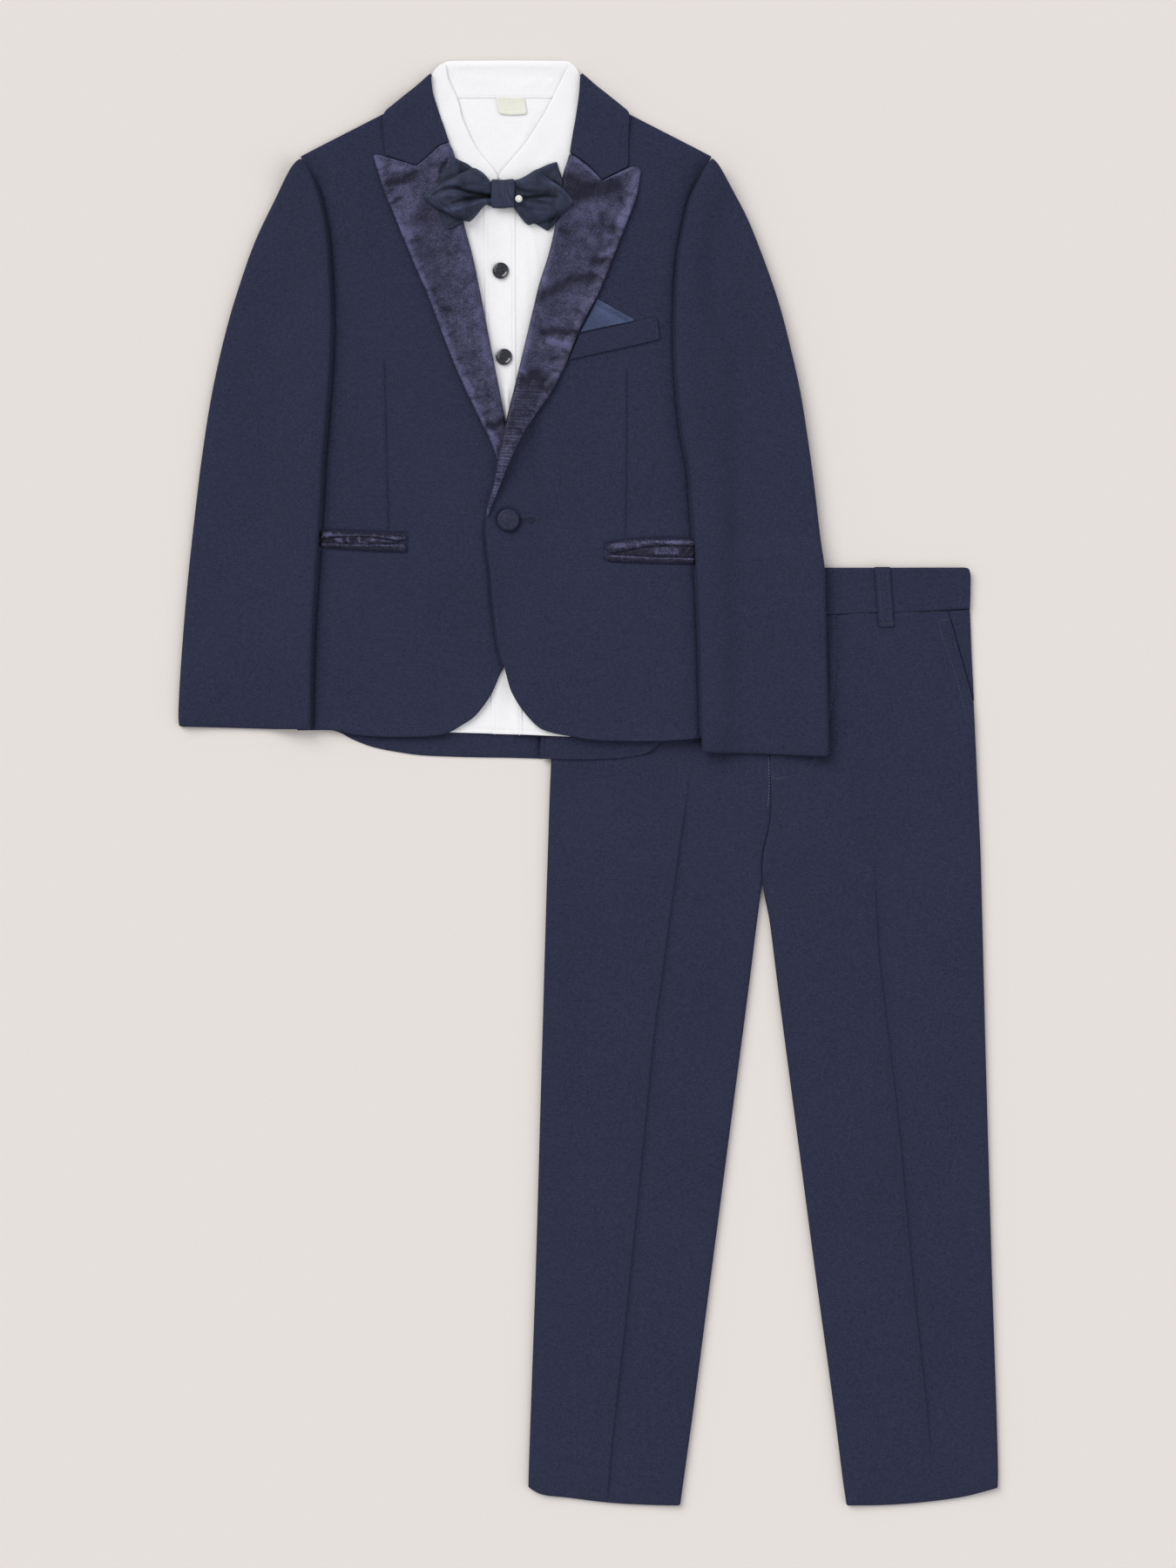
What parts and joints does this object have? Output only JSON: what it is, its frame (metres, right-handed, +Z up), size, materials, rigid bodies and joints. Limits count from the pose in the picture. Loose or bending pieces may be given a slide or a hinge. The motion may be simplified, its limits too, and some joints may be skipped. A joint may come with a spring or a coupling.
{
  "type": "boy's tuxedo set laid flat",
  "caption": "Boy's dinner suit laid flat: peak-lapel jacket over a collared shirt with a pointed bow tie, lying on the waist of its pressed trousers.",
  "frame": {"origin": "middle of the laid-out set's outline, on the surface that it lies on", "axes": "+Y from the trouser hems towards the jacket's neck, +X towards the wearer's left, +Z up off the surface"},
  "size_m": [0.6023, 1.0625, 0.0166],
  "materials": {
    "suit_cloth": "matt navy suiting with a fine twill and a slight two-tone speckle",
    "satin": "soft crumpled navy satin with a purple-blue sheen",
    "bow_cloth": "dark teal-navy bow tie cloth with a fine dotted weave",
    "square_cloth": "mid-blue handkerchief cloth with a fine dotted weave",
    "shirt_cotton": "smooth white cotton poplin",
    "label_tape": "blank cream woven tape",
    "navy_button": "glossy dark navy resin",
    "pearl": "white bead"
  },
  "bodies": {
    "root": {"trouser_back_right": "suit_cloth", "trouser_back_left": "suit_cloth", "trouser_front_right": "suit_cloth", "trouser_front_left": "suit_cloth", "trouser_pocket_facing": "suit_cloth", "trouser_waistband_back": "suit_cloth", "trouser_waistband_right": "suit_cloth", "trouser_waistband_left": "suit_cloth", "trouser_belt_loop": "suit_cloth", "jacket_back_right": "suit_cloth", "jacket_back_left": "suit_cloth", "jacket_front_right": "suit_cloth", "jacket_front_left": "suit_cloth", "jacket_sleeve_right_under": "suit_cloth", "jacket_sleeve_right_top": "suit_cloth", "jacket_sleeve_left_under": "suit_cloth", "jacket_sleeve_left_top": "suit_cloth", "jacket_collar_right": "suit_cloth", "jacket_collar_left": "suit_cloth", "jacket_collar_back": "suit_cloth", "jacket_lapel_right": "satin", "jacket_lapel_left": "satin", "jacket_chest_welt": "suit_cloth", "jacket_pocket_right_upper_jet": "satin", "jacket_pocket_right_bag": "satin", "jacket_pocket_right_lower_jet": "satin", "jacket_pocket_left_upper_jet": "satin", "jacket_pocket_left_bag": "satin", "jacket_pocket_left_lower_jet": "satin", "jacket_button": "satin", "pocket_square": "square_cloth", "shirt_back": "shirt_cotton", "shirt_front_right": "shirt_cotton", "shirt_front_left": "shirt_cotton", "shirt_placket": "shirt_cotton", "shirt_collar_band": "shirt_cotton", "shirt_collar_fall": "shirt_cotton", "shirt_collar_leaf_right": "shirt_cotton", "shirt_collar_leaf_left": "shirt_cotton", "shirt_label": "label_tape", "shirt_button_upper": "navy_button", "shirt_button_lower": "navy_button", "bow_tie_knot": "bow_cloth", "bow_tie_wing_right": "bow_cloth", "bow_tie_wing_left": "bow_cloth", "bow_tie_tail_right": "bow_cloth", "bow_tie_tail_left": "bow_cloth", "bow_tie_pin": "pearl"}
  },
  "joints": []
}
